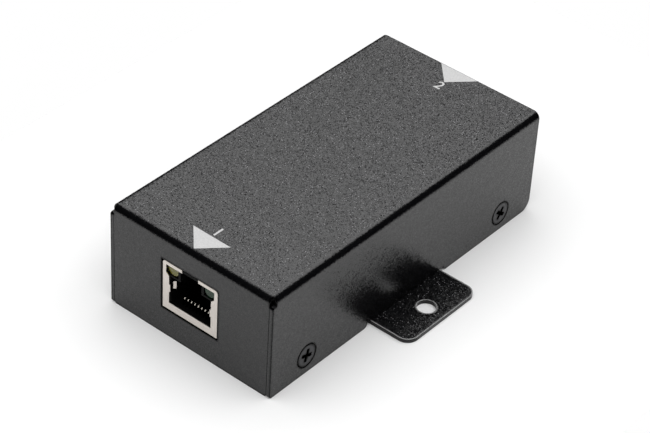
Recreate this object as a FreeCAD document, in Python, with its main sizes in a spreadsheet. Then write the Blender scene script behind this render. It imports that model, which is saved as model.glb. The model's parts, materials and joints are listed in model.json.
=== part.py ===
"""PoE extender: a folded steel box with one network socket in each end and two mounting ears.

Millimetres, +Z up. The origin is on the bottom face, in the middle of the box. The length runs
along Y: the output socket faces -Y, the input socket faces +Y, and the ears reach out along X.
"""
import FreeCAD, Part
import Sketcher
import os
import re
from FreeCAD import Placement, Rotation, Vector

# Driving dimensions

DIMENSIONS = {
    # Folded case
    "case_width": 48.0,
    "case_length": 94.0,
    "case_height": 28.0,
    "sheet": 1.0,
    "cover_bend": 0.8,
    "base_bend": 1.5,
    "nest_gap": 0.1,
    "seam_gap": 0.12,
    "relief_drop": 2.4,
    "relief_run": 1.2,
    "corner_round": 0.6,
    "heel_round": 3.0,
    # Mounting ears
    "ear_width": 25.2,
    "ear_reach": 11.1,
    "ear_corner": 3.0,
    "ear_hole": 4.6,
    "ear_hole_out": 6.0,
    "ear_slot_gap": 1.3,
    "ear_slot_rise": 0.25,
    "ear_slot_round": 1.1,
    # Cover screws and the tabs that take them
    "screw_inset": 12.0,
    "screw_level": 5.0,
    "screw_thread": 2.9,
    "thread_gap": 0.05,
    "screw_head": 5.7,
    "screw_length": 4.0,
    "screw_seat": 0.03,
    "screw_hole": 3.2,
    "countersink": 6.4,
    "cross_span": 3.4,
    "cross_arm": 0.9,
    "cross_depth": 1.3,
    "cross_taper": 12.0,
    "tab_width": 9.0,
    "tab_height": 9.4,
    "tab_bend": 0.4,
    "tab_relief": 0.8,
    "tab_slot": 3.4,
    "nut_flats": 5.5,
    "nut_height": 1.6,
    # Circuit board and what holds it
    "board_side_gap": 2.9,
    "board_thickness": 1.6,
    "board_end_gap": 1.0,
    "board_corner": 1.0,
    "board_hole": 3.2,
    "board_hole_side": 3.0,
    "board_hole_end": 5.5,
    "hole_fit": 0.1,
    "post_height": 5.2,
    "post_flats": 5.5,
    "board_screw_head": 5.5,
    "board_screw_head_height": 2.0,
    "board_screw_length": 4.8,
    # Socket shell
    "jack_width": 16.2,
    "jack_height": 13.3,
    "jack_depth": 21.3,
    "jack_wall": 0.25,
    "jack_bend": 0.5,
    "jack_gap": 0.3,
    "jack_setback": 0.1,
    "mouth_width": 12.5,
    "mouth_floor": 1.95,
    "mouth_roof": 12.4,
    "brow_width": 14.3,
    "brow_floor": 9.5,
    "brow_slope": 0.8,
    "latch_gap": 4.8,
    "latch_notch": 1.0,
    "leg_width": 1.6,
    "leg_back": 13.4,
    "leg_length": 2.6,
    "finger_floor": 5.1,
    "finger_height": 2.1,
    "finger_fold": 0.35,
    "finger_dip": 1.4,
    "finger_peak": 2.1,
    "finger_bulge": 0.75,
    "finger_length": 4.2,
    "finger_lap": 0.1,
    "finger_room": 0.3,
    # Socket insulator
    "insert_gap": 0.1,
    "insert_back": 1.5,
    "plug_width": 11.9,
    "plug_floor": 2.1,
    "plug_height": 7.2,
    "plug_depth": 14.0,
    "latch_width": 6.2,
    "latch_roof": 12.3,
    "peg": 3.0,
    "peg_rib": 0.9,
    "peg_fit": 0.1,
    "peg_side": 5.9,
    "peg_back": 8.9,
    "peg_length": 1.5,
    # Wires and their comb
    "comb_width": 8.9,
    "comb_front": 1.0,
    "comb_height": 2.0,
    "slot_width": 0.62,
    "slot_front": 0.4,
    "wire_pitch": 1.016,
    "wire_width": 0.42,
    "wire_thick": 0.3,
    "wire_level": 0.9,
    "wire_front": 2.1,
    "wire_knee": 3.3,
    "wire_curl": 0.9,
    "wire_tip_back": 9.5,
    "wire_tip_rise": 5.9,
    "tail_back": 12.7,
    "tail_stagger": 2.54,
    "tail_length": 2.6,
    # Socket lamps
    "lamp_width": 3.0,
    "lamp_height": 2.4,
    "lamp_side": 5.4,
    "lamp_level": 9.85,
    "lamp_inset": 0.35,
    "lamp_length": 12.0,
    "lamp_nose": 1.45,
    "lamp_room": 0.1,
    "lamp_lead": 0.45,
    "lamp_lead_pitch": 1.27,
    # Parts on the board
    "module_length": 12.7,
    "module_width": 7.0,
    "module_height": 5.6,
    "module_pitch": 1.27,
    "module_leg_level": 1.7,
    "module_gap": 2.4,
    "body_lift": 0.1,
    "leg_out": 1.2,
    "leg_root": 0.3,
    "leg_knee": 0.6,
    "leg_thick": 0.18,
    "switch_side": 7.0,
    "switch_height": 1.0,
    "control_side": 5.0,
    "control_height": 0.9,
    "chip_mark": 0.6,
    "crystal_length": 5.0,
    "crystal_width": 3.2,
    "crystal_height": 1.2,
    "crystal_lid": 0.4,
    "crystal_rim": 0.3,
    "inductor_side": 8.0,
    "inductor_height": 4.2,
    "inductor_corner": 1.6,
    "inductor_rim": 0.4,
    "can_width": 6.3,
    "can_height": 7.7,
    "can_base": 6.6,
    "can_base_height": 1.2,
    "can_corner": 1.2,
    "bridge_length": 4.8,
    "bridge_width": 3.9,
    "bridge_height": 1.6,
    "bridge_pitch": 2.5,
    "bridge_leg": 0.63,
    "bridge_leg_level": 0.64,
    "bridge_back": 3.0,
    "diode_length": 4.6,
    "diode_width": 3.6,
    "diode_height": 2.3,
    "diode_tab": 2.4,
    "diode_tab_height": 1.15,
    "transistor_width": 6.5,
    "transistor_length": 6.1,
    "transistor_height": 2.3,
    "transistor_tab": 5.4,
    "transistor_tab_out": 1.0,
    "transistor_leg": 0.72,
    "transistor_leg_out": 1.8,
    "transistor_pitch": 4.6,
    "transistor_metal": 0.54,
    "capacitor_length": 2.0,
    "capacitor_width": 1.25,
    "capacitor_height": 1.1,
    "capacitor_pitch": 1.9,
    "resistor_length": 1.6,
    "resistor_width": 0.8,
    "resistor_height": 0.45,
    "resistor_pitch": 1.5,
    "chip_end": 0.45,
    "chip_step": 0.05,
    "part_gap": 0.5,
    "edge_room": 1.0,
}

WIRES = 8
MODULE_LEGS = 8
RESISTORS = 5

# How far each cover screw is turned about its own axis, in degrees
SCREW_TURNS = (-35, -18, 25, 62)

# The sign of a place on each side, or at each end
SIGNS = ("", "-")

# Two places this near each other count as one
CLOSE = 0.01

# Heights and places that several pieces share

BOARD_BASE = "(sheet + post_height)"
BOARD_TOP = "(sheet + post_height + board_thickness)"
BOARD_END = "(case_length / 2 - sheet - board_end_gap)"
BASE_EDGE = "(case_width / 2 - sheet - nest_gap)"
SCREW_Y = "(case_length / 2 - screw_inset)"
BOARD_SIDE = f"({BASE_EDGE} - sheet - board_side_gap)"
POST_X = f"({BOARD_SIDE} - board_hole_side)"
POST_Y = "(case_length / 2 - sheet - board_end_gap - board_hole_end)"
THREAD_HOLE = "(screw_thread / 2 + thread_gap)"
SCREW_RIM = "((countersink - screw_head) / 2 - screw_seat)"
CONE_LEFT = f"max(countersink / 2 - sheet - nest_gap - {THREAD_HOLE}; thread_gap)"
JACK_FRONT = "(case_length / 2 - jack_setback)"
JACK_BACK = "(case_length / 2 - jack_setback - jack_depth)"
LAMP_LEAD_BACK = "(jack_depth - jack_wall - insert_back / 2)"
LAMP_LEAD_HOLE = "(lamp_lead + hole_fit * 2)"
MODULE_Y = f"({JACK_BACK} - module_gap - module_width / 2)"
CONTROL_X = f"({BOARD_SIDE} - edge_room - control_side / 2)"
CONTROL_Y = f"({JACK_BACK} - control_side)"
CRYSTAL_X = "(switch_side / 2 + part_gap + crystal_width / 2)"
THROUGH_SHEET = "sheet * 2"
THROUGH_BOARD = "board_thickness * 2"

document = FreeCAD.newDocument("PoeExtender")
sheet_of_sizes = document.addObject("Spreadsheet::Sheet", "Sizes")
for row, (alias, number) in enumerate(DIMENSIONS.items(), start=1):
    sheet_of_sizes.set(f"A{row}", alias)
    sheet_of_sizes.set(f"B{row}", str(number))
    sheet_of_sizes.setAlias(f"B{row}", alias)
document.recompute()

finished = []


# Small helpers

def formula(text):
    """A formula with each dimension's name pointed at the sheet."""
    def point(word):
        return "Sizes." + word.group() if word.group() in DIMENSIONS else word.group()

    return re.sub(r"[a-z_]+", point, text)


def bind(item, path, text):
    item.setExpression(path, formula(text))


def value(text):
    """What a formula comes to with the sizes as they are now."""
    return float(sheet_of_sizes.evalExpression(formula(text)))


def place(item, across="0", along="0", up="0", turn=0.0):
    """Places a sub-part: its position follows the sheet, and turn is about Z in degrees."""
    item.Placement = Placement(Vector(), Rotation(Vector(0, 0, 1), turn))
    bind(item, "Placement.Base.x", across)
    bind(item, "Placement.Base.y", along)
    bind(item, "Placement.Base.z", up)


def finish(item, label):
    """Names a finished sub-part, which also names its file."""
    item.Label = label
    finished.append(item)
    return item


def new_body(name):
    body = document.addObject("PartDesign::Body", name)
    body.AllowCompound = True
    return body


def datum(body, role):
    return next(item for item in body.Origin.OriginFeatures if item.Role == role)


def sketch_on(body, role, lift="0"):
    """A sketch on one of the body's origin planes, moved along the plane's normal by lift."""
    sketch = body.newObject("Sketcher::SketchObject", "Sketch")
    sketch.AttachmentSupport = [(datum(body, role), "")]
    sketch.MapMode = "FlatFace"
    bind(sketch, "AttachmentOffset.Base.z", lift)
    return sketch


def pin(sketch, geometry, point, position, across, up):
    """Ties one point of the sketch to a place given by two formulas."""
    for kind, start, text in (("DistanceX", position.x, across), ("DistanceY", position.y, up)):
        index = sketch.addConstraint(Sketcher.Constraint(kind, -1, 1, geometry, point, start))
        bind(sketch, f"Constraints[{index}]", text)


def polygon(sketch, corners):
    """A closed outline with straight sides, each corner tied to the sheet."""
    count = len(corners)
    start = sketch.GeometryCount
    spots = [Vector(value(across), value(up)) for across, up in corners]
    for i in range(count):
        sketch.addGeometry(Part.LineSegment(spots[i], spots[(i + 1) % count]))
    for i in range(count):
        sketch.addConstraint(
            Sketcher.Constraint("Coincident", start + i, 2, start + (i + 1) % count, 1))
    for i, (across, up) in enumerate(corners):
        pin(sketch, start + i, 1, spots[i], across, up)


def rectangle(sketch, left, right, low, high):
    polygon(sketch, [(left, low), (right, low), (right, high), (left, high)])


def middle_rectangle(sketch, across, up, wide, high):
    rectangle(sketch, f"{across} - {wide} / 2", f"{across} + {wide} / 2",
              f"{up} - {high} / 2", f"{up} + {high} / 2")


def circle(sketch, across, up, radius):
    spot = Vector(value(across), value(up))
    start = value(radius)
    index = sketch.addGeometry(Part.Circle(spot, Vector(0, 0, 1), start))
    pin(sketch, index, 3, spot, across, up)
    ring = sketch.addConstraint(Sketcher.Constraint("Radius", index, start))
    bind(sketch, f"Constraints[{ring}]", radius)


def open_path(sketch, points):
    """An open run of straight lines, each point tied to the sheet."""
    spots = [Vector(value(across), value(up)) for across, up in points]
    for i in range(len(points) - 1):
        sketch.addGeometry(Part.LineSegment(spots[i], spots[i + 1]))
        if i:
            sketch.addConstraint(Sketcher.Constraint("Coincident", i - 1, 2, i, 1))
    for i, (across, up) in enumerate(points):
        line, end = (i, 1) if i < len(points) - 1 else (i - 1, 2)
        pin(sketch, line, end, spots[i], across, up)


def cross(sketch, across, up, span, arm):
    """A plus-shaped outline: span from tip to tip, with arms that wide."""
    tip = f"({span} / 2)"
    edge = f"({arm} / 2)"
    quarter = [(tip, f"-{edge}"), (tip, edge), (edge, edge)]
    corners = []
    for _ in range(4):
        corners += quarter
        quarter = [(f"-({high})", wide) for wide, high in quarter]
    polygon(sketch, [(f"{across} + ({wide})", f"{up} + ({high})") for wide, high in corners])


def hexagon(sketch, flats, across="0", up="0"):
    """A hexagon with two of its flats facing sideways."""
    left, right = f"{across} - {flats} / 2", f"{across} + {flats} / 2"
    corner = f"({flats} / sqrt(3))"
    polygon(sketch, [(across, f"{up} + {corner}"), (left, f"{up} + {corner} / 2"),
                     (left, f"{up} - {corner} / 2"), (across, f"{up} - {corner}"),
                     (right, f"{up} - {corner} / 2"), (right, f"{up} + {corner} / 2")])


def pad(sketch, length, both=False, back=False):
    """Adds the sketch's outline along its normal, both ways or backwards if asked."""
    return extrude(sketch, "PartDesign::Pad", length, both, back)


def pocket(sketch, length, both=False, back=False):
    """Cuts the sketch's outline against its normal, both ways or forwards if asked."""
    return extrude(sketch, "PartDesign::Pocket", length, both, back)


def extrude(sketch, kind, length, both, back):
    body = sketch.getParentGeoFeatureGroup()
    feature = body.newObject(kind, kind.split("::")[1])
    feature.Profile = sketch
    feature.SideType = "Symmetric" if both else "One side"
    feature.Reversed = back
    bind(feature, "Length", length)
    document.recompute()
    return feature


def revolve(sketch, axis):
    body = sketch.getParentGeoFeatureGroup()
    feature = body.newObject("PartDesign::Revolution", "Revolution")
    feature.Profile = sketch
    feature.ReferenceAxis = (sketch, [axis])
    document.recompute()
    return feature


def soften(body, kind, size, wanted):
    """A Fillet or Chamfer on the edges of the body's tip whose middle passes the test."""
    tip = body.Tip
    names = [f"Edge{i}" for i, edge in enumerate(tip.Shape.Edges, start=1)
             if wanted(edge, edge.CenterOfMass)]
    if not names:
        raise RuntimeError(f"{body.Name}: no edge fits")
    feature = body.newObject(f"PartDesign::{kind}", kind)
    feature.Base = (tip, names)
    bind(feature, "Radius" if kind == "Fillet" else "Size", size)
    document.recompute()
    return feature


def near(number, target):
    return abs(number - target) < CLOSE


def runs_along(edge, axis):
    """True for a straight edge along X, Y or Z."""
    if edge.Curve.TypeId != "Part::GeomLine":
        return False
    direction = edge.tangentAt(edge.FirstParameter)
    return abs(getattr(direction, axis)) > 1 - CLOSE


def repeat(body, axis, length, count, originals=None):
    """A row of copies along an axis, of the whole body or of the features given."""
    feature = body.newObject("PartDesign::LinearPattern", "LinearPattern")
    set_originals(feature, originals)
    feature.Direction = (datum(body, axis), [""])
    feature.Occurrences = count
    bind(feature, "Length", length)
    body.Tip = feature
    document.recompute()
    return feature


def mirror(body, role, originals=None):
    feature = body.newObject("PartDesign::Mirrored", "Mirrored")
    set_originals(feature, originals)
    feature.MirrorPlane = (datum(body, role), [""])
    body.Tip = feature
    document.recompute()
    return feature


def turn_copies(body, count):
    """The whole body again, turned about Z."""
    feature = body.newObject("PartDesign::PolarPattern", "PolarPattern")
    set_originals(feature, None)
    feature.Axis = (datum(body, "Z_Axis"), [""])
    feature.Occurrences = count
    feature.Angle = 360
    body.Tip = feature
    document.recompute()
    return feature


def set_originals(feature, originals):
    if originals:
        feature.Originals = originals
    else:
        feature.TransformMode = feature.getEnumerationsOfProperty("TransformMode")[1]


def number(name):
    return float(sheet_of_sizes.get(name))


# Folded case

def jack_window(body, lift, back):
    """The cut-out in an end wall, with a gap all round the socket."""
    sketch = sketch_on(body, "XZ_Plane", lift)
    rectangle(sketch, "-(jack_width / 2 + jack_gap)", "jack_width / 2 + jack_gap",
              f"{BOARD_TOP} - jack_gap", f"{BOARD_TOP} + jack_height + jack_gap")
    return pocket(sketch, "sheet", back=back)


def make_top_cover():
    body = new_body("TopCover")
    half_width = number("case_width") / 2
    half_length = number("case_length") / 2
    height = number("case_height")
    wall = number("sheet")

    outside = sketch_on(body, "XY_Plane")
    rectangle(outside, "-case_width / 2", "case_width / 2", "-case_length / 2", "case_length / 2")
    pad(outside, "case_height")

    def outer_bend(edge, middle):
        long_side = runs_along(edge, "y") and near(abs(middle.x), half_width)
        near_end = runs_along(edge, "x") and near(middle.y, -half_length)
        return near(middle.z, height) and (long_side or near_end)

    soften(body, "Fillet", "cover_bend + sheet", outer_bend)

    inside = sketch_on(body, "XY_Plane")
    rectangle(inside, "-(case_width / 2 - sheet)", "case_width / 2 - sheet",
              "-(case_length / 2 - sheet)", "case_length / 2 + sheet")
    pocket(inside, "case_height - sheet", back=True)

    def inner_bend(edge, middle):
        long_side = runs_along(edge, "y") and near(abs(middle.x), half_width - wall)
        near_end = runs_along(edge, "x") and near(middle.y, wall - half_length)
        return near(middle.z, height - wall) and (long_side or near_end)

    soften(body, "Fillet", "cover_bend", inner_bend)

    # The near end meets each long side at an open seam that ends in a bend relief
    seams = sketch_on(body, "XZ_Plane", "case_length / 2")
    for side in SIGNS:
        rectangle(seams, f"{side}(case_width / 2 - sheet - seam_gap)",
                  f"{side}(case_width / 2 - sheet)", "-sheet", "case_height - relief_drop / 2")
    pocket(seams, "sheet")
    reliefs = sketch_on(body, "XZ_Plane", "case_length / 2")
    for side in SIGNS:
        rectangle(reliefs, f"{side}(case_width / 2 - sheet - seam_gap)",
                  f"{side}(case_width / 2 + sheet)", "case_height - relief_drop",
                  "case_height + sheet")
    pocket(reliefs, "relief_run")

    jack_window(body, "case_length / 2", False)

    slots = sketch_on(body, "YZ_Plane")
    rectangle(slots, "-(ear_width / 2 + ear_slot_gap)", "ear_width / 2 + ear_slot_gap",
              "-sheet", "sheet + ear_slot_rise")
    pocket(slots, "case_width + sheet", both=True)

    slot_end = number("ear_width") / 2 + number("ear_slot_gap")

    def on_side(edge, middle):
        return runs_along(edge, "x") and abs(middle.x) > half_width - wall

    def slot_lip(edge, middle):
        return on_side(edge, middle) and near(middle.z, 0) and near(abs(middle.y), slot_end)

    def heel(edge, middle):
        return on_side(edge, middle) and near(middle.z, 0) and near(middle.y, half_length)

    def toe(edge, middle):
        foot = near(middle.z, 0)
        shoulder = near(middle.z, height - number("relief_drop"))
        return on_side(edge, middle) and near(middle.y, -half_length) and (foot or shoulder)

    def end_toe(edge, middle):
        beside_seam = near(abs(middle.x), half_width - wall - number("seam_gap"))
        return runs_along(edge, "y") and near(middle.z, 0) and beside_seam

    soften(body, "Fillet", "ear_slot_round", slot_lip)
    soften(body, "Fillet", "heel_round", heel)
    soften(body, "Fillet", "corner_round", toe)
    soften(body, "Fillet", "corner_round", end_toe)

    # Countersunk holes: drilled from the +X side, then mirrored
    spots = sketch_on(body, "YZ_Plane", "case_width / 2")
    for side in SIGNS:
        circle(spots, f"{side}{SCREW_Y}", "screw_level", "screw_hole / 2")
    hole = body.newObject("PartDesign::Hole", "Hole")
    hole.Profile = spots
    hole.DepthType = "Dimension"
    hole.DrillPoint = "Flat"
    hole.HoleCutType = "Countersink"
    hole.HoleCutCustomValues = True
    hole.HoleCutCountersinkAngle = 90
    bind(hole, "Diameter", "screw_hole")
    bind(hole, "HoleCutDiameter", "countersink")
    bind(hole, "Depth", THROUGH_SHEET)
    document.recompute()
    mirror(body, "YZ_Plane", [hole])
    return finish(body, "top_cover")


def make_base_plate():
    body = new_body("BasePlate")
    half_length = number("case_length") / 2
    wall = number("sheet")
    edge_x = number("case_width") / 2 - wall - number("nest_gap")

    profile = sketch_on(body, "YZ_Plane")
    near_edge = "-(case_length / 2 - sheet - nest_gap)"
    lip = "case_height - sheet - nest_gap"
    polygon(profile, [(near_edge, "0"), ("case_length / 2", "0"), ("case_length / 2", lip),
                      ("case_length / 2 - sheet", lip), ("case_length / 2 - sheet", "sheet"),
                      (near_edge, "sheet")])
    pad(profile, f"{BASE_EDGE} * 2", both=True)

    def outer_bend(edge, middle):
        return runs_along(edge, "x") and near(middle.z, 0) and near(middle.y, half_length)

    def inner_bend(edge, middle):
        return runs_along(edge, "x") and near(middle.z, wall) and near(middle.y, half_length - wall)

    soften(body, "Fillet", "base_bend + sheet", outer_bend)
    soften(body, "Fillet", "base_bend", inner_bend)

    lip_corner = number("case_height") - wall - number("nest_gap")
    soften(body, "Fillet", "cover_bend + nest_gap",
           lambda edge, middle: runs_along(edge, "y") and near(middle.z, lip_corner))

    # Ears, flat with the bottom
    ears = sketch_on(body, "XY_Plane")
    rectangle(ears, "-(case_width / 2 + ear_reach)", "case_width / 2 + ear_reach",
              "-ear_width / 2", "ear_width / 2")
    pad(ears, "sheet")
    ear_end = number("case_width") / 2 + number("ear_reach")
    soften(body, "Fillet", "ear_corner",
           lambda edge, middle: runs_along(edge, "z") and near(abs(middle.x), ear_end))

    # Tabs bent up inside the long sides, each between two relief slots
    tabs = sketch_on(body, "XY_Plane")
    for side in SIGNS:
        for end in SIGNS:
            rectangle(tabs, f"{side}({BASE_EDGE} - sheet)", f"{side}{BASE_EDGE}",
                      f"{end}({SCREW_Y} - tab_width / 2)", f"{end}({SCREW_Y} + tab_width / 2)")
    pad(tabs, "tab_height")

    def tab_foot(edge, middle):
        return runs_along(edge, "y") and abs(middle.y) > number("ear_width") / 2 \
            and near(edge.Length, number("tab_width"))

    soften(body, "Fillet", "tab_bend",
           lambda edge, middle: tab_foot(edge, middle) and near(middle.z, wall)
           and near(abs(middle.x), edge_x - wall))
    slots = sketch_on(body, "XY_Plane")
    for side in SIGNS:
        for end in SIGNS:
            for step in ("-", "+"):
                middle_rectangle(slots, f"{side}({BASE_EDGE})",
                                 f"{end}({SCREW_Y} {step} (tab_width + tab_relief) / 2)",
                                 "tab_slot", "tab_relief")
    pocket(slots, THROUGH_SHEET, back=True)
    soften(body, "Fillet", "tab_bend + sheet",
           lambda edge, middle: tab_foot(edge, middle) and near(middle.z, 0)
           and near(abs(middle.x), edge_x))

    # Nuts welded inside the tabs, and a wider start to each hole for the screw's cone
    for side in SIGNS:
        nuts = sketch_on(body, "YZ_Plane", f"{side}({BASE_EDGE} - sheet)")
        starts = sketch_on(body, "YZ_Plane", f"{side}{BASE_EDGE}")
        for end in SIGNS:
            hexagon(nuts, "nut_flats", f"{end}{SCREW_Y}", "screw_level")
            circle(starts, f"{end}{SCREW_Y}", "screw_level", f"{THREAD_HOLE} + {CONE_LEFT}")
        pad(nuts, "nut_height", back=not side)
        pocket(starts, CONE_LEFT, back=bool(side))
    threads = sketch_on(body, "YZ_Plane")
    for end in SIGNS:
        circle(threads, f"{end}{SCREW_Y}", "screw_level", THREAD_HOLE)
    pocket(threads, "case_width", both=True)

    holes = sketch_on(body, "XY_Plane")
    for side in SIGNS:
        circle(holes, f"{side}(case_width / 2 + ear_hole_out)", "0", "ear_hole / 2")
    pocket(holes, THROUGH_SHEET, back=True)

    jack_window(body, "-(case_length / 2 - sheet)", False)
    return finish(body, "base_plate")


# Screws

def copies_of(form, name, label, places):
    """A group of separate copies of one form, each a link with its own place."""
    links = []
    for index, (across, along, up, rotation) in enumerate(places, start=1):
        link = document.addObject("App::Link", f"{name}{index}")
        link.LinkedObject = form
        link.Placement = Placement(Vector(), rotation)
        bind(link, "Placement.Base.x", across)
        bind(link, "Placement.Base.y", along)
        bind(link, "Placement.Base.z", up)
        links.append(link)
    group = document.addObject("Part::Compound", name)
    group.Links = links
    document.recompute()
    return finish(group, label)


def make_cover_screws():
    """Countersunk screws: half of the section, revolved, and a tapered cross cut into the head.

    The head has a short upright rim, so a narrow groove shows between it and the cover.
    """
    body = new_body("CoverScrewForm")
    shank = "screw_thread / 2"
    head = "screw_head / 2"
    half = sketch_on(body, "XZ_Plane")
    polygon(half, [("0", "0"), (head, "0"), (head, f"-{SCREW_RIM}"),
                   (shank, f"-({SCREW_RIM} + {head} - {shank})"), (shank, "-screw_length"),
                   ("0", "-screw_length")])
    revolve(half, "V_Axis")
    recess = sketch_on(body, "XY_Plane")
    cross(recess, "0", "0", "cross_span", "cross_arm")
    cut = pocket(recess, "cross_depth")
    bind(cut, "TaperAngle", "-cross_taper")
    document.recompute()
    corners = [(side, end) for side in SIGNS for end in SIGNS]
    places = []
    for (side, end), turn in zip(corners, SCREW_TURNS):
        outward = Rotation(Vector(0, 1, 0), -90 if side else 90)
        places.append((f"{side}case_width / 2", f"{end}{SCREW_Y}", "screw_level",
                       outward * Rotation(Vector(0, 0, 1), turn)))
    return copies_of(body, "CoverScrew", "cover_screws", places)


def at_posts(level):
    return [(f"{side}{POST_X}", f"{end}{POST_Y}", level, Rotation())
            for side in SIGNS for end in SIGNS]


def make_board_screws():
    body = new_body("BoardScrewForm")
    head = sketch_on(body, "XY_Plane")
    hexagon(head, "board_screw_head")
    pad(head, "board_screw_head_height")
    shank = sketch_on(body, "XY_Plane")
    circle(shank, "0", "0", "screw_thread / 2")
    pad(shank, "board_screw_length", back=True)
    return copies_of(body, "BoardScrew", "board_screws", at_posts(BOARD_TOP))


def make_board_standoffs():
    """Hexagonal posts welded to the bottom, with a bore for the board screws."""
    body = new_body("StandoffForm")
    post = sketch_on(body, "XY_Plane")
    hexagon(post, "post_flats")
    pad(post, "post_height")
    bore = sketch_on(body, "XY_Plane")
    circle(bore, "0", "0", THREAD_HOLE)
    pocket(bore, "post_height", back=True)
    return copies_of(body, "Standoff", "board_standoffs", at_posts("sheet"))


# Circuit board

def wire_row(back_row):
    """Sideways place of the first wire in one of the two staggered rows."""
    return f"({back_row - (WIRES - 1) / 2} * wire_pitch)"


def make_circuit_board():
    """One half with the holes for the output socket, and the same half turned round."""
    body = new_body("CircuitBoard")
    blank = sketch_on(body, "XY_Plane")
    rectangle(blank, f"-{BOARD_SIDE}", BOARD_SIDE, f"-{BOARD_END}", "0")
    pad(blank, "board_thickness")
    board_end = -value(BOARD_END)
    soften(body, "Chamfer", "board_corner",
           lambda edge, middle: runs_along(edge, "z") and near(middle.y, board_end))
    holes = sketch_on(body, "XY_Plane")
    for side in SIGNS:
        circle(holes, f"{side}{POST_X}", f"-{POST_Y}", "board_hole / 2")
        circle(holes, f"{side}peg_side", f"-({JACK_FRONT} - peg_back)", "peg / 2 + peg_fit")
        middle_rectangle(holes, f"{side}(jack_width / 2 - jack_wall / 2)",
                         f"-({JACK_FRONT} - leg_back)", "(jack_wall + hole_fit * 2)",
                         "(leg_width + hole_fit * 2)")
        for step in ("-", "+"):
            middle_rectangle(holes, f"{side}(lamp_side {step} lamp_lead_pitch / 2)",
                             f"-({JACK_FRONT} - {LAMP_LEAD_BACK})", LAMP_LEAD_HOLE, LAMP_LEAD_HOLE)
    pocket(holes, THROUGH_BOARD, back=True)
    for back_row in (0, 1):
        tails = sketch_on(body, "XY_Plane")
        middle_rectangle(tails, wire_row(back_row),
                         f"-({JACK_FRONT} - tail_back - {back_row} * tail_stagger)",
                         "(wire_width + hole_fit * 2)", "(wire_thick + hole_fit * 2)")
        cut = pocket(tails, THROUGH_BOARD, back=True)
        repeat(body, "X_Axis", f"{WIRES - 2} * wire_pitch", WIRES // 2, [cut])
    turn_copies(body, 2)
    place(body, up=BOARD_BASE)
    return finish(body, "circuit_board")


# Sockets, in their own frame: the front face at y = 0, the depth along +Y, on the board at z = 0

def seat_jack(body, end):
    """Stands a socket piece in its end wall: out at -Y, in at +Y and turned round."""
    if end == "out":
        place(body, along=f"-{JACK_FRONT}", up=BOARD_TOP)
    else:
        place(body, along=JACK_FRONT, up=BOARD_TOP, turn=180)


def make_jack_shell(end):
    body = new_body(f"{end.capitalize()}JackShell")
    depth = number("jack_depth")
    height = number("jack_height")
    half = number("jack_width") / 2
    wall = number("jack_wall")

    outside = sketch_on(body, "XY_Plane")
    rectangle(outside, "-jack_width / 2", "jack_width / 2", "0", "jack_depth")
    pad(outside, "jack_height")
    soften(body, "Fillet", "jack_bend + jack_wall",
           lambda edge, middle: runs_along(edge, "y") and near(middle.z, height))
    inside = sketch_on(body, "XY_Plane")
    rectangle(inside, "-(jack_width / 2 - jack_wall)", "jack_width / 2 - jack_wall",
              "jack_wall", "jack_depth - jack_wall")
    pocket(inside, "jack_height - jack_wall", back=True)
    soften(body, "Fillet", "jack_bend",
           lambda edge, middle: runs_along(edge, "y") and near(middle.z, height - wall)
           and near(abs(middle.x), half - wall))

    mouth = sketch_on(body, "XZ_Plane")
    left = [("-latch_gap / 2", "jack_height + jack_wall"), ("-latch_gap / 2", "mouth_roof"),
            ("-brow_width / 2", "mouth_roof"), ("-brow_width / 2", "brow_floor + brow_slope"),
            ("-mouth_width / 2", "brow_floor"), ("-mouth_width / 2", "mouth_floor")]
    right = [(across[1:], up) for across, up in reversed(left)]
    polygon(mouth, left + right)
    pocket(mouth, "jack_wall")
    notch = sketch_on(body, "XY_Plane", "jack_height")
    rectangle(notch, "-latch_gap / 2", "latch_gap / 2", "-jack_wall", "latch_notch")
    pocket(notch, "jack_wall")

    # Solder legs below the side walls
    for side, lift in (("", "jack_width / 2 - jack_wall"), ("-", "-jack_width / 2")):
        leg = sketch_on(body, "YZ_Plane", lift)
        rectangle(leg, "leg_back - leg_width / 2", "leg_back + leg_width / 2",
                  "-leg_length", "jack_wall")
        pad(leg, "jack_wall")

    # Spring fingers folded back into the mouth from both upright rims
    fingers = sketch_on(body, "XY_Plane", "finger_floor")
    root = "(mouth_width / 2)"
    outer = f"({root} + jack_wall)"
    for side in SIGNS:
        polygon(fingers, [
            (f"{side}{outer}", "0"), (f"{side}({root} - finger_fold)", "0"),
            (f"{side}{root}", "finger_dip"), (f"{side}({root} - finger_bulge)", "finger_peak"),
            (f"{side}({root} - jack_wall)", "finger_length"), (f"{side}{root}", "finger_length"),
            (f"{side}({outer} - finger_bulge)", "finger_peak + finger_lap"),
            (f"{side}{outer}", "finger_dip + finger_lap"), (f"{side}{root}", "jack_wall"),
            (f"{side}{outer}", "jack_wall")])
    pad(fingers, "finger_height")
    seat_jack(body, end)
    return finish(body, f"{end}_jack_shell")


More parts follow.
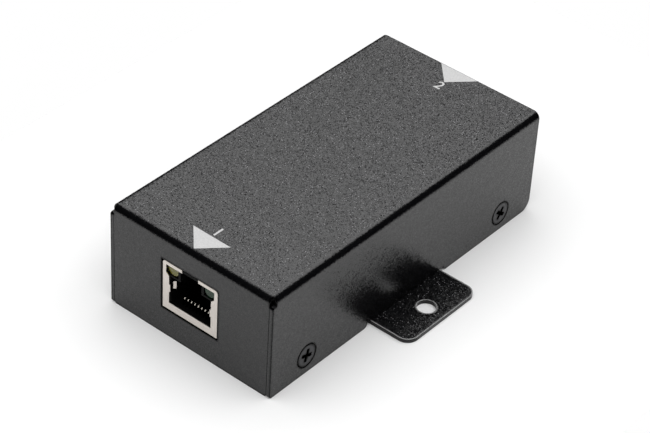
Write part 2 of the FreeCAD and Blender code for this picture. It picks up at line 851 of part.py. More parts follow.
def make_jack_housing(end):
    body = new_body(f"{end.capitalize()}JackHousing")
    front = "(jack_wall + insert_gap)"
    back = "(jack_depth - jack_wall - insert_back)"
    wide = "(jack_width / 2 - jack_wall - insert_gap)"
    top = "(jack_height - jack_wall - insert_gap)"
    block = sketch_on(body, "XY_Plane")
    rectangle(block, f"-{wide}", wide, front, back)
    pad(block, top)
    roof = number("jack_height") - number("jack_wall") - number("insert_gap")
    soften(body, "Fillet", "jack_bend",
           lambda edge, middle: runs_along(edge, "y") and near(middle.z, roof))

    # Plug cavity with the latch channel above it
    cavity = sketch_on(body, "XZ_Plane")
    shelf = "plug_floor + plug_height"
    left = [("-latch_width / 2", "latch_roof"), ("-latch_width / 2", shelf),
            ("-plug_width / 2", shelf), ("-plug_width / 2", "plug_floor")]
    right = [(across[1:], up) for across, up in reversed(left)]
    polygon(cavity, left + right)
    pocket(cavity, "plug_depth")

    # Bays for the lamps, open to the front and the back
    bays = sketch_on(body, "XZ_Plane")
    for side in SIGNS:
        rectangle(bays, f"{side}(lamp_side - lamp_width / 2 - lamp_room)",
                  f"{side}(lamp_side + lamp_width / 2 + lamp_room)", "lamp_level - lamp_room",
                  "lamp_level + lamp_height + lamp_room")
    pocket(bays, "jack_depth")

    # Opening in the floor for the comb, and room for the spring fingers
    floor = sketch_on(body, "XY_Plane")
    rectangle(floor, "-(comb_width / 2 + insert_gap)", "comb_width / 2 + insert_gap",
              "comb_front - insert_gap", "jack_depth")
    pocket(floor, "plug_floor + insert_gap", back=True)
    rooms = sketch_on(body, "XY_Plane", "finger_floor - finger_room")
    for side in SIGNS:
        rectangle(rooms, f"{side}(plug_width / 2 - finger_room)",
                  f"{side}(mouth_width / 2 + jack_wall + finger_room)", "0",
                  "finger_length + finger_room")
    pocket(rooms, "finger_height + finger_room * 2", back=True)

    pegs = sketch_on(body, "XY_Plane")
    for side in SIGNS:
        cross(pegs, f"{side}peg_side", "peg_back", "peg", "peg_rib")
    pad(pegs, "peg_length", back=True)
    seat_jack(body, end)
    return finish(body, f"{end}_jack_housing")


def make_contact_block(end):
    body = new_body(f"{end.capitalize()}ContactBlock")
    block = sketch_on(body, "XY_Plane")
    rectangle(block, "-comb_width / 2", "comb_width / 2", "comb_front",
              "jack_depth - jack_wall - insert_back")
    pad(block, "comb_height")
    first = f"-{(WIRES - 1) / 2} * wire_pitch"
    slot = sketch_on(body, "XY_Plane")
    rectangle(slot, f"{first} - slot_width / 2", f"{first} + slot_width / 2",
              "comb_front + slot_front", "tail_back + tail_stagger + slot_front")
    cut = pocket(slot, "comb_height", back=True)
    repeat(body, "X_Axis", f"{WIRES - 1} * wire_pitch", WIRES, [cut])
    seat_jack(body, end)
    return finish(body, f"{end}_contact_block")


def make_contacts(end):
    """Eight bent spring wires: tail through the board, along the floor, and up into the mouth."""
    body = new_body(f"{end.capitalize()}Contacts")
    for back_row in (0, 1):
        across = wire_row(back_row)
        tail = f"(tail_back + {back_row} * tail_stagger)"
        section = sketch_on(body, "XY_Plane", "-tail_length")
        middle_rectangle(section, across, tail, "wire_width", "wire_thick")
        spine = sketch_on(body, "YZ_Plane", across)
        path = [(tail, "-tail_length"), (tail, "wire_level"), ("wire_front", "wire_level"),
                ("wire_front - wire_thick", "wire_knee - wire_curl"),
                ("wire_front + wire_thick", "wire_knee"),
                ("wire_tip_back", "wire_tip_rise")]
        open_path(spine, path)
        wire = body.newObject("PartDesign::AdditivePipe", "AdditivePipe")
        wire.Profile = section
        wire.Spine = (spine, [])
        wire.Transition = "Right corner"
        document.recompute()
        repeat(body, "X_Axis", f"{WIRES - 2} * wire_pitch", WIRES // 2, [wire])
    seat_jack(body, end)
    return finish(body, f"{end}_contacts")


def make_lamp(end, colour, side):
    """A lamp in a rounded bar of clear resin, with two leads down to the board."""
    body = new_body(f"{end.capitalize()}{colour.capitalize()}Lamp")
    centre = f"{side}lamp_side"
    bar = sketch_on(body, "XZ_Plane", "-(jack_wall + lamp_inset)")
    rectangle(bar, f"{centre} - lamp_width / 2", f"{centre} + lamp_width / 2", "lamp_level",
              "lamp_level + lamp_height")
    pad(bar, "lamp_length", back=True)
    low = number("lamp_level")
    soften(body, "Fillet", "lamp_nose",
           lambda edge, middle: runs_along(edge, "y") and near(middle.z, low))
    mid = "(lamp_level + lamp_height / 2)"
    lead_back = f"({LAMP_LEAD_BACK} + lamp_lead / 2)"
    bar_back = "(jack_wall + lamp_inset + lamp_length)"
    for step in ("-", "+"):
        lead = sketch_on(body, "YZ_Plane", f"{centre} {step} lamp_lead_pitch / 2")
        polygon(lead, [(f"{bar_back} - lamp_lead", f"{mid} - lamp_lead / 2"),
                       (f"{lead_back} - lamp_lead", f"{mid} - lamp_lead / 2"),
                       (f"{lead_back} - lamp_lead", "-tail_length"), (lead_back, "-tail_length"),
                       (lead_back, f"{mid} + lamp_lead / 2"),
                       (f"{bar_back} - lamp_lead", f"{mid} + lamp_lead / 2")])
        pad(lead, "lamp_lead", both=True)
    seat_jack(body, end)
    return finish(body, f"{end}_{colour}_led")


# Parts soldered to the board, each in its own frame with its foot at z = 0

def gull_leg(body, edge_out, level, first, width):
    """One leg at the +Y side: out of the middle of the side, down, and a foot on the board."""
    leg = sketch_on(body, "YZ_Plane", first)
    root = f"{edge_out} - leg_root"
    knee = f"({edge_out} + leg_knee)"
    toe = f"{edge_out} + leg_out"
    polygon(leg, [(root, level), (f"{knee} - leg_thick", level), (f"{knee} - leg_thick", "0"),
                  (toe, "0"), (toe, "leg_thick"), (knee, "leg_thick"),
                  (knee, f"{level} + leg_thick"), (root, f"{level} + leg_thick")])
    return pad(leg, width, both=True)


def moulded_block(body, length, width, height, lift="0"):
    block = sketch_on(body, "XY_Plane", lift)
    middle_rectangle(block, "0", "0", length, width)
    return pad(block, f"{height} - {lift}")


def make_module(end):
    body = new_body(f"{end.capitalize()}Magnetics")
    moulded_block(body, "module_length", "module_width", "module_height", "body_lift")
    first = f"-{(MODULE_LEGS - 1) / 2} * module_pitch"
    leg = gull_leg(body, "module_width / 2", "module_leg_level", first, "wire_width")
    repeat(body, "X_Axis", f"{MODULE_LEGS - 1} * module_pitch", MODULE_LEGS, [leg])
    mirror(body, "XZ_Plane")
    side = "-" if end == "out" else ""
    place(body, along=f"{side}{MODULE_Y}", up=BOARD_TOP)
    return finish(body, f"{end}_magnetics")


def make_flat_chip(label, side, height, across="0", along="0"):
    """A chip with its contacts underneath, and one corner cut off to mark the first of them."""
    body = new_body(label.title().replace("_", ""))
    moulded_block(body, side, side, height)
    edge_out = number(side) / 2

    def marked_corner(edge, middle):
        return runs_along(edge, "z") and near(middle.x, -edge_out) and near(middle.y, edge_out)

    soften(body, "Chamfer", "chip_mark", marked_corner)
    place(body, across, along, BOARD_TOP)
    return finish(body, label)


def make_crystal():
    body = new_body("Crystal")
    moulded_block(body, "crystal_width", "crystal_length", "crystal_height - crystal_lid")
    lid = sketch_on(body, "XY_Plane")
    middle_rectangle(lid, "0", "0", "(crystal_width - crystal_rim * 2)",
                     "(crystal_length - crystal_rim * 2)")
    pad(lid, "crystal_height")
    place(body, across=f"-{CRYSTAL_X}", up=BOARD_TOP)
    return finish(body, "crystal")


def make_power_inductor():
    body = new_body("PowerInductor")
    moulded_block(body, "inductor_side", "inductor_side", "inductor_height")
    soften(body, "Chamfer", "inductor_corner", lambda edge, middle: runs_along(edge, "z"))
    top = number("inductor_height")
    soften(body, "Chamfer", "inductor_rim", lambda edge, middle: near(middle.z, top))
    place(body, across=f"{BOARD_SIDE} - edge_room - inductor_side / 2", up=BOARD_TOP)
    return finish(body, "power_inductor")


def make_bulk_capacitors():
    """Round cans on square bases that have two corners cut off."""
    body = new_body("BulkCapacitorForm")
    moulded_block(body, "can_base", "can_base", "can_base_height")
    front = number("can_base") / 2
    soften(body, "Chamfer", "can_corner",
           lambda edge, middle: runs_along(edge, "z") and near(middle.x, front))
    can = sketch_on(body, "XY_Plane")
    circle(can, "0", "0", "can_width / 2")
    pad(can, "can_height")
    across = f"-({BOARD_SIDE} - edge_room - can_base / 2)"
    places = [(across, f"{end}(crystal_length + can_base) / 2", BOARD_TOP, Rotation())
              for end in SIGNS]
    return copies_of(body, "BulkCapacitor", "bulk_capacitors", places)


def make_bridge_rectifiers():
    body = new_body("BridgeForm")
    moulded_block(body, "bridge_length", "bridge_width", "bridge_height", "body_lift")
    leg = gull_leg(body, "bridge_width / 2", "bridge_leg_level", "-bridge_pitch / 2",
                   "bridge_leg")
    repeat(body, "X_Axis", "bridge_pitch", 2, [leg])
    mirror(body, "XZ_Plane")
    places = [(f"{side}(jack_width / 2 + edge_room + bridge_length / 2)",
               f"{JACK_BACK} + bridge_back", BOARD_TOP, Rotation()) for side in SIGNS]
    return copies_of(body, "Bridge", "bridge_rectifiers", places)


def make_surge_diodes():
    body = new_body("DiodeForm")
    moulded_block(body, "diode_length", "diode_width", "diode_height", "body_lift")
    tab = sketch_on(body, "XY_Plane")
    middle_rectangle(tab, "0", "0", "(diode_length + leg_thick * 2)", "diode_tab")
    pad(tab, "diode_tab_height")
    places = [(f"{side}(jack_width / 2 + edge_room + diode_length / 2)",
               f"-({JACK_BACK} + bridge_back)", BOARD_TOP, Rotation()) for side in SIGNS]
    return copies_of(body, "Diode", "surge_diodes", places)


def make_power_transistors():
    """Flat power transistors, with the metal tab to the outside and the two legs to the middle."""
    body = new_body("TransistorForm")
    moulded_block(body, "transistor_width", "transistor_length", "transistor_height", "body_lift")
    metal = sketch_on(body, "XY_Plane")
    rectangle(metal, "-transistor_tab / 2", "transistor_tab / 2", "0",
              "transistor_length / 2 + transistor_tab_out")
    for side in SIGNS:
        rectangle(metal, f"{side}transistor_pitch / 2 - transistor_leg / 2",
                  f"{side}transistor_pitch / 2 + transistor_leg / 2",
                  "-(transistor_length / 2 + transistor_leg_out)", "-transistor_length / 4")
    pad(metal, "transistor_metal")
    across = f"{BOARD_SIDE} - edge_room - transistor_width / 2"
    along = "(inductor_side / 2 + part_gap + transistor_leg_out + transistor_length / 2)"
    places = [(across, along, BOARD_TOP, Rotation()),
              (across, f"-{along}", BOARD_TOP, Rotation(Vector(0, 0, 1), 180))]
    return copies_of(body, "Transistor", "power_transistors", places)


def make_chips(name, label, length, width, height, places):
    """A group of plain two-ended chips: a body with a raised metal cap at each end."""
    body = new_body(f"{name}Form")
    moulded_block(body, length, f"({width} - chip_step * 2)", f"{height} - chip_step")
    caps = sketch_on(body, "XY_Plane")
    for side in SIGNS:
        rectangle(caps, f"{side}({length} / 2 - chip_end)", f"{side}{length} / 2",
                  f"-{width} / 2", f"{width} / 2")
    pad(caps, height)
    return copies_of(body, name, label, places)


def make_chip_capacitors():
    """Two beside each power chip, and one at each end of the crystal."""
    beside_chip = f"-({CONTROL_X} - control_side / 2 - part_gap - capacitor_length / 2)"
    past_crystal = "(crystal_length / 2 + part_gap + capacitor_width / 2)"
    places = []
    for end in SIGNS:
        for step in ("-", "+"):
            along = f"{end}({CONTROL_Y} {step} capacitor_pitch / 2)"
            places.append((beside_chip, along, BOARD_TOP, Rotation()))
        places.append((f"-{CRYSTAL_X}", f"{end}{past_crystal}", BOARD_TOP, Rotation()))
    return make_chips("ChipCapacitor", "chip_capacitors", "capacitor_length", "capacitor_width",
                      "capacitor_height", places)


def make_chip_resistors():
    across = "switch_side / 2 + part_gap + resistor_length / 2"
    places = []
    for step in range(RESISTORS):
        along = f"{step - (RESISTORS - 1) / 2} * resistor_pitch"
        places.append((across, along, BOARD_TOP, Rotation()))
    return make_chips("ChipResistor", "chip_resistors", "resistor_length", "resistor_width",
                      "resistor_height", places)


def main():
    make_top_cover()
    make_base_plate()
    make_cover_screws()
    make_board_standoffs()
    make_circuit_board()
    make_board_screws()
    for end in ("out", "in"):
        make_jack_shell(end)
        make_jack_housing(end)
        make_contact_block(end)
        make_contacts(end)
        make_lamp(end, "yellow", "-")
        make_lamp(end, "green", "")
        make_module(end)
    make_flat_chip("switch_chip", "switch_side", "switch_height")
    make_crystal()
    for label, end in (("power_input_chip", ""), ("power_output_chip", "-")):
        make_flat_chip(label, "control_side", "control_height", f"-{CONTROL_X}", f"{end}{CONTROL_Y}")
    make_power_inductor()
    make_bulk_capacitors()
    make_bridge_rectifiers()
    make_surge_diodes()
    make_power_transistors()
    make_chip_capacitors()
    make_chip_resistors()
    document.recompute()
    check_and_write()


def check_and_write():
    for item in document.Objects:
        if "Invalid" in item.State or "Error" in item.State:
            raise RuntimeError(f"{item.Name} ({item.Label}) did not build")
    for item in finished:
        shape = item.Shape
        if shape.isNull() or not shape.isValid() or not shape.Solids:
            raise RuntimeError(f"{item.Label} is not a valid solid")
    os.makedirs("parts", exist_ok=True)
    for item in finished:
        item.Shape.exportStep(f"parts/{item.Label}.step")
        print(item.Label, len(item.Shape.Solids), round(item.Shape.Volume, 2))


main()
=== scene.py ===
# %% [markdown]
# # A small folded-steel network box
#
# The part is a black powder-coated steel box with a network socket in each end and a mounting ear
# on each side. Its shapes all come from the CAD model, which stays as it is, so that looks and
# sizes can't drift apart. This lesson gives them their surfaces:
# grainy paint, plated screws, a nickel socket with two tinted lamps, and white printed marks.
# Then it sets up a white card, two soft lamps overhead and the camera.

# %% Load the frame
import json
import math

import bpy
from mathutils import Matrix, Vector


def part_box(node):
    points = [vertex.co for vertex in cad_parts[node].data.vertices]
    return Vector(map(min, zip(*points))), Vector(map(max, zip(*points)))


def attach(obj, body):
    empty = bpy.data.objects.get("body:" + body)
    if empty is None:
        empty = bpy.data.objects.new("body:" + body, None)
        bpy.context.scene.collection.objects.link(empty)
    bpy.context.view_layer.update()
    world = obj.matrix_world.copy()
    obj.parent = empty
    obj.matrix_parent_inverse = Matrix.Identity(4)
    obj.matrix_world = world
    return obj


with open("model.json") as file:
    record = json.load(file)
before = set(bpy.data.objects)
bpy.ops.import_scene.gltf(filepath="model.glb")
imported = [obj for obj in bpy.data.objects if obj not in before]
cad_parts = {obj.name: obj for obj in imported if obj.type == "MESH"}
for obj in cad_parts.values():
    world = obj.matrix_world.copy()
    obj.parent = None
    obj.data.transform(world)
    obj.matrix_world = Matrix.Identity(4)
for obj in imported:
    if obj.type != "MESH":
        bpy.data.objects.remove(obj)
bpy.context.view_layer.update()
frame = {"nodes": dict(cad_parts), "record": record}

MM = 0.001
nodes = frame["nodes"]

# %% [markdown]
# ## A short way to write node materials
#
# Every material below is a small tree of shader nodes. It could be built node by node, but that
# takes a page for each finish. Here `add` makes a node and links or sets its inputs, and the other
# methods are the nodes that come up again and again. All patterns read object coordinates, which
# are metres in the part's own frame, so a grain of a fifth of a millimetre is that size everywhere.

# %% Material helper
SCREW_OUT, SCREW_UP = 35 * MM, 5 * MM


class Surface:
    """One material: a principled shader and the nodes that feed it."""

    def __init__(self, name, **settings):
        self.material = bpy.data.materials.new(name)
        self.material.use_nodes = True
        self.tree = self.material.node_tree
        self.tree.nodes.clear()
        self.shader = self.add("ShaderNodeBsdfPrincipled", **settings)
        output = self.add("ShaderNodeOutputMaterial")
        self.tree.links.new(self.shader.outputs[0], output.inputs["Surface"])
        self.place = self.add("ShaderNodeTexCoord").outputs["Object"]

    def put(self, socket, value):
        """Links an output to a socket, or sets a plain number or colour on it."""
        if isinstance(value, bpy.types.NodeSocket):
            self.tree.links.new(value, socket)
        else:
            socket.default_value = value

    def add(self, kind, **inputs):
        node = self.tree.nodes.new(kind)
        for name, value in inputs.items():
            self.put(node.inputs[name.replace("_", " ")], value)
        return node

    def noise(self, size, detail=2.0, rough=0.5, place=None):
        """Soft cloudy noise whose blobs are about `size` metres across."""
        node = self.add("ShaderNodeTexNoise", Vector=place or self.place, Scale=1 / size,
                        Detail=detail, Roughness=rough)
        return node.outputs["Fac"]

    def cells(self, size):
        """Distance from the nearest of many scattered points, `size` metres apart."""
        node = self.add("ShaderNodeTexVoronoi", Vector=self.place, Scale=1 / size)
        return node.outputs["Distance"]

    def stretch(self, x, y, z):
        """The object coordinates, stretched along each axis, for grain that runs one way."""
        node = self.add("ShaderNodeMapping", Vector=self.place, Scale=(x, y, z))
        return node.outputs[0]

    def spread(self, value, low, high, to_low=0.0, to_high=1.0):
        """Maps low..high to to_low..to_high and stops at the ends."""
        node = self.add("ShaderNodeMapRange", Value=value)
        for name, number in (("From Min", low), ("From Max", high), ("To Min", to_low),
                             ("To Max", to_high)):
            node.inputs[name].default_value = number
        return node.outputs[0]

    def mix(self, factor, first, second):
        """Blends two colours by a factor."""
        node = self.tree.nodes.new("ShaderNodeMix")
        node.data_type = "RGBA"
        self.put(node.inputs[0], factor)
        self.put(node.inputs[6], first)
        self.put(node.inputs[7], second)
        return node.outputs[2]

    def both(self, *masks):
        """1 where every mask is 1."""
        product = masks[0]
        for mask in masks[1:]:
            product = self.number("MULTIPLY", product, mask)
        return product

    def either(self, *masks):
        """1 where any mask is 1."""
        most = masks[0]
        for mask in masks[1:]:
            most = self.number("MAXIMUM", most, mask)
        return most

    def opposite(self, mask):
        return self.number("SUBTRACT", 1.0, mask)

    def along(self, axis):
        """One object coordinate, in metres."""
        return self.add("ShaderNodeSeparateXYZ", Vector=self.place).outputs[axis]

    def number(self, operation, *values):
        """A sum, a product or another step of arithmetic."""
        node = self.add("ShaderNodeMath")
        node.operation = operation
        for socket, value in zip(node.inputs, values):
            self.put(socket, value)
        return node.outputs[0]

    def within(self, **ranges):
        """1 where, along each axis named, the distance from the middle is in its range, in mm."""
        inside = 1.0
        for axis, (low, high) in ranges.items():
            out = self.number("ABSOLUTE", self.along(axis))
            here = self.number("COMPARE", out, (low + high) / 2 * MM, (high - low) / 2 * MM)
            inside = self.number("MULTIPLY", inside, here)
        return inside

    def sharpness(self, radius, full=0.88, none=0.97):
        """1 on sharp edges, fading to 0 a good third of `radius` metres away from them."""
        facing = self.add("ShaderNodeNewGeometry").outputs["Normal"]
        alike = self.vector("DOT_PRODUCT", facing, self.rounded(radius))
        return self.spread(alike, full, none, 1.0, 0.0)

    def from_screw(self):
        """Distance in metres from the axis of the nearest cover screw."""
        out = self.number("SUBTRACT", self.number("ABSOLUTE", self.along("Y")), SCREW_OUT)
        up = self.number("SUBTRACT", self.along("Z"), SCREW_UP)
        squares = self.number("MULTIPLY_ADD", out, out, self.number("MULTIPLY", up, up))
        return self.number("SQRT", squares)

    def rounded(self, radius):
        """The surface normal, with every sharp edge looking rounded by `radius` metres."""
        node = self.add("ShaderNodeBevel", Radius=radius)
        node.samples = 6
        return node.outputs[0]

    def lean(self, normal, size, most):
        """Tilts a normal by a random amount in each grain, `size` metres across."""
        grains = self.add("ShaderNodeTexVoronoi", Vector=self.place, Scale=1 / size)
        tilt = self.vector("SUBTRACT", grains.outputs["Color"], (0.5,) * 3)
        tilt = self.vector("SCALE", tilt, Scale=most)
        return self.vector("NORMALIZE", self.vector("ADD", tilt, normal))

    def vector(self, operation, *values, **named):
        """A sum, a product or another step with directions."""
        node = self.add("ShaderNodeVectorMath")
        node.operation = operation
        for socket, value in zip(node.inputs, values):
            self.put(socket, value)
        for name, value in named.items():
            self.put(node.inputs[name], value)
        return node.outputs["Value" if operation == "DOT_PRODUCT" else "Vector"]

    def bump(self, height, depth, strength=1.0, edge=None, normal=None):
        """Turns a height pattern into surface relief `depth` metres deep, on rounded edges."""
        node = self.add("ShaderNodeBump", Height=height, Strength=strength, Distance=depth)
        if edge:
            normal = self.rounded(edge)
        if normal:
            self.put(node.inputs["Normal"], normal)
        self.put(self.shader.inputs["Normal"], node.outputs[0])


def colour(red, green, blue):
    return (red, green, blue, 1.0)


def grey(level):
    return colour(level, level, level)


finishes = {}
print("cover screws in mm", SCREW_OUT / MM, "out and", SCREW_UP / MM, "up")

# %% [markdown]
# ## Black powder coat
#
# The paint is nearly black and looks grey only where it mirrors a lamp or the white card. Powder
# melts into tiny facets, about a fifth of a millimetre across. On faces that lay upward the powder
# settled thick and each facet leans its own way, so they look grainy. A few pale specks painted
# into their colour are painted glints. The top's grain is also painted a lighter grey, a painted
# sheen, so that it still shows where it mirrors no lamp. On upright faces the paint is smoother.
# Sharp edges on upright faces are painted black as painted shade, the ears' top edges carry a
# painted pale highlight, and the countersinks and the edges of the cut-outs are painted black as
# painted shade.
#
# A bump map could make the grain, but at this distance its slopes average out to a flat grey. So
# the normal itself is tilted, by a random amount in each facet. The masks that follow are 1 where
# something shows and 0 elsewhere, and the ranges are millimetres from the middle of the part.

# %% Powder coat
WINDOW_EDGE_SHADE = {"X": (0, 8.5), "Y": (45.9, 47.1), "Z": (7.2, 21.45)}
EAR = {"Z": (0, 2)}
GROOVE_SHADE_RADIUS = 3.36 * MM
EDGE_SHADE_LINE, EDGE_HIGHLIGHT_LINE = 1.1 * MM, 1.0 * MM
FACET, GRAIN, GLINT_GAP, DENT = 0.18 * MM, 0.5 * MM, 0.6 * MM, 2.2 * MM

paint = Surface("black_powder_coat", IOR=1.48)
facing = paint.add("ShaderNodeNewGeometry").outputs["Normal"]
flat = paint.spread(paint.vector("DOT_PRODUCT", facing, (0.0, 0.0, 1.0)), 0.92, 0.99)
# Painted shade: sharp edges on upright faces, the countersink round each screw and the cut faces
# round the socket windows are painted black, with no shine.
edge_shade = paint.both(paint.sharpness(EDGE_SHADE_LINE), paint.opposite(flat))
groove_shade = paint.number("LESS_THAN", paint.from_screw(), GROOVE_SHADE_RADIUS)
painted_shade = paint.either(edge_shade, groove_shade, paint.within(**WINDOW_EDGE_SHADE))

ear = paint.within(**EAR)
# Painted sheen: the grain on the top, not on the ears, is painted a lighter grey.
top_grain_and_sheen = paint.both(paint.spread(paint.noise(GRAIN), 0.4, 0.6),
                       paint.number("SUBTRACT", flat, ear))
# Painted glints: pale specks in the colour of the upward faces.
painted_glints = paint.both(paint.spread(paint.cells(GLINT_GAP), 0.08, 0.18, 1.0, 0.0), flat)
# Painted highlight: a pale line along the ears' top edges.
ear_edge_highlight = paint.both(paint.sharpness(EDGE_HIGHLIGHT_LINE, 0.84, 0.93), ear, flat)
tint = paint.mix(top_grain_and_sheen, colour(0.0018, 0.0018, 0.0022), colour(0.015, 0.015, 0.0155))
tint = paint.mix(painted_glints, tint, colour(0.28, 0.28, 0.29))
tint = paint.mix(ear_edge_highlight, tint, grey(0.42))
paint.put(paint.shader.inputs["Base Color"], paint.mix(painted_shade, tint, grey(0.001)))
paint.put(paint.shader.inputs["Metallic"], painted_shade)
paint.put(paint.shader.inputs["Roughness"], paint.spread(flat, 0.0, 1.0, 0.21, 0.24))

tilt = paint.both(paint.spread(flat, 0.0, 1.0, 0.17, 0.41), paint.spread(ear, 0.0, 1.0, 1.0, 0.8))
facets = paint.lean(paint.rounded(0.22 * MM), FACET, tilt)
paint.bump(paint.noise(DENT), 0.04 * MM, normal=facets)
finishes["black_powder_coat"] = paint.material
print("paint nodes", len(paint.tree.nodes))

# %% [markdown]
# ## Metals
#
# The socket's shell is nickel-plated tin plate with a faint grain along its length. The cover
# screws are steel blackened by plating, and the screws and posts inside are bright zinc. The
# socket's wires carry a painted highlight on a narrow stretch of their crests, and the rest is
# painted black as painted shade.
#
# One function makes them all, because they differ only in colour, polish and grain. What lies deep
# in a mouth or a recess gets a black base colour by a mask, which is painted shade. Shade alone
# would leave it grey, and in the real thing hardly any light finds its way out of there.

# %% Metals
STREAK, STAIN = 0.6 * MM, 4.0 * MM


def plated(name, base, shade, rough, grain_run=(1.0, 1.0, 1.0), depth=0.000006, edge=0.00006):
    metal = Surface(name, Metallic=1.0)
    streaks = metal.noise(STREAK, 3.0, 0.55, metal.stretch(*grain_run))
    stains = metal.noise(STAIN)
    metal.put(metal.shader.inputs["Base Color"], metal.mix(stains, base, shade))
    metal.put(metal.shader.inputs["Roughness"],
              metal.spread(streaks, 0.25, 0.75, rough - 0.06, rough + 0.08))
    metal.bump(streaks, depth, 0.5, edge=edge)
    finishes[name] = metal.material
    return metal


def paint_shade_black(surface, where):
    """Paints shade: turns the base colour black where the mask is 1."""
    base = surface.shader.inputs["Base Color"]
    surface.put(base, surface.mix(where, base.links[0].from_socket, grey(0.0015)))


SHADED_MOUTH = {"X": (0, 6.6), "Z": (8, 20.5)}
HEAD_RADIUS, HEAD_EDGE_SHADE = 2.7 * MM, 1.1 * MM
RECESS_SHADE = {"X": (0, 23.9)}
HALF_PITCH, HALF_HIGHLIGHT = 0.508 * MM, 0.13 * MM
CREST_HIGHLIGHT = {"Y": (44.4, 47), "Z": (11.0, 11.38)}

shell = plated("nickel_plate", colour(0.68, 0.635, 0.59), colour(0.60, 0.555, 0.51), 0.32,
               (1, 0.12, 1))
# Painted shade: the inside of each socket mouth is painted black.
for depth in ((40, 45.02), (45.65, 46.6)):
    paint_shade_black(shell, shell.within(Y=depth, **SHADED_MOUTH))

screw = plated("black_screw_finish", colour(0.055, 0.055, 0.058), colour(0.08, 0.08, 0.084), 0.36,
               edge=0.1 * MM)
# Painted shade: the cross recess, the groove round the head and the head's edges are painted black.
paint_shade_black(screw, screw.within(**RECESS_SHADE))
paint_shade_black(screw, screw.number("GREATER_THAN", screw.from_screw(), HEAD_RADIUS))
paint_shade_black(screw, screw.sharpness(HEAD_EDGE_SHADE))

wire = plated("gold_plate", colour(0.72, 0.68, 0.6), colour(0.66, 0.61, 0.53), 0.24, (1, 0.2, 1))
# Painted highlight: a narrow stretch of each wire's crest gets a pale non-metal colour, and the rest
# is painted black as painted shade.
lane = wire.number("PINGPONG", wire.along("X"), HALF_PITCH)
crest_highlight = wire.number("GREATER_THAN", lane, HALF_PITCH - HALF_HIGHLIGHT)
unlit = wire.opposite(wire.both(crest_highlight, wire.within(**CREST_HIGHLIGHT)))
paint_shade_black(wire, unlit)
wire.put(wire.shader.inputs["Metallic"], unlit)

plated("zinc_steel", colour(0.62, 0.63, 0.66), colour(0.5, 0.52, 0.55), 0.3)
plated("capacitor_can", colour(0.62, 0.63, 0.65), colour(0.5, 0.51, 0.54), 0.3)
plated("can_steel", colour(0.7, 0.7, 0.7), colour(0.6, 0.6, 0.61), 0.28)
print("finishes so far", list(finishes))

# %% [markdown]
# ## Plastics, resin and ceramic
#
# The socket's insulator is black nylon with a fine moulded texture. The two lamps are tinted
# clear resin, so light goes in and comes back coloured. Inside, the board wears a glossy green
# mask over its weave, and the chips are matt epoxy. A plain colour would do for most of them, but
# real mouldings are never quite even, so a broad cloud shifts the shade and a fine one the shine.

# %% Plastics and ceramics
def moulded(name, base, shade, rough, lumps, depth, **settings):
    body = Surface(name, **settings)
    fine = body.noise(lumps, 2.0)
    broad = body.noise(lumps * 14, 2.0)
    body.put(body.shader.inputs["Base Color"], body.mix(broad, base, shade))
    body.put(body.shader.inputs["Roughness"],
             body.spread(fine, 0.3, 0.7, rough - 0.05, rough + 0.07))
    body.bump(fine, depth, 0.5, edge=0.00008)
    finishes[name] = body.material
    return body


moulded("black_nylon", grey(0.0015), grey(0.0025), 0.5, 0.0003, 0.00002,
        Specular_IOR_Level=0.08)
moulded("yellow_resin", colour(0.24, 0.22, 0.04), colour(0.17, 0.16, 0.03), 0.12, 0.0009, 0.000006,
        Transmission_Weight=0.35)
moulded("green_resin", colour(0.012, 0.05, 0.02), colour(0.009, 0.038, 0.015), 0.12, 0.0009,
        0.000006, Transmission_Weight=0.35, Specular_IOR_Level=0.25)
moulded("black_epoxy", grey(0.018), grey(0.026), 0.55, 0.0002, 0.00002)
moulded("tan_ceramic", colour(0.50, 0.38, 0.25), colour(0.42, 0.31, 0.2), 0.4, 0.0002, 0.00001)
moulded("black_ceramic", grey(0.03), grey(0.045), 0.3, 0.0002, 0.00001)
moulded("ferrite", grey(0.05), grey(0.08), 0.6, 0.00025, 0.00003)

board = Surface("green_board", Coat_Weight=0.6, Coat_Roughness=0.12, Roughness=0.35)
weave = board.add("ShaderNodeTexBrick", Vector=board.place, Scale=1 / 0.0008)
weave.inputs["Mortar Size"].default_value = 0.12
board.put(board.shader.inputs["Base Color"],
          board.mix(board.noise(0.003), colour(0.012, 0.10, 0.04), colour(0.02, 0.14, 0.06)))
board.bump(weave.outputs["Fac"], 0.000008, 0.4)
finishes["green_board"] = board.material
print("finishes in all", len(finishes))

# %% [markdown]
# ## Each node gets its finish
#
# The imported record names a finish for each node, so the list isn't typed again here.

# %% Dress the nodes
for entry in frame["record"]["subparts"]:
    mesh_slots = nodes[entry["node"]].material_slots
    if not mesh_slots:
        nodes[entry["node"]].data.materials.append(None)
    for mesh_slot in nodes[entry["node"]].material_slots:
        mesh_slot.material = finishes[entry["material_slot"]]

# %% [markdown]
# ## White printed marks
#
# A solid triangle by each socket shows which way the power goes, with a plain port number beside
# it. They could be painted into the cover's material, but as thin films they keep crisp edges and
# leave the CAD mesh alone. The film is a few hundredths of a millimetre thick and sunk into the
# paint, so it stands out by less than a hair.

# %% Printed marks
ink = Surface("white_ink", Specular_IOR_Level=0.35)
ink_grain = ink.noise(0.00030, 3.0, 0.6)
ink.put(ink.shader.inputs["Base Color"],
        ink.mix(ink.spread(ink_grain, 0.3, 0.7), grey(0.42), grey(0.53)))
ink.put(ink.shader.inputs["Roughness"], ink.spread(ink_grain, 0.3, 0.7, 0.5, 0.62))
ink.bump(ink_grain, 0.00008, 0.35)

INK_SUNK = 0.03 * MM
INK_PROUD = 0.004 * MM
MARK_HALF = 5.5 * MM
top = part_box("top_cover")[1].z


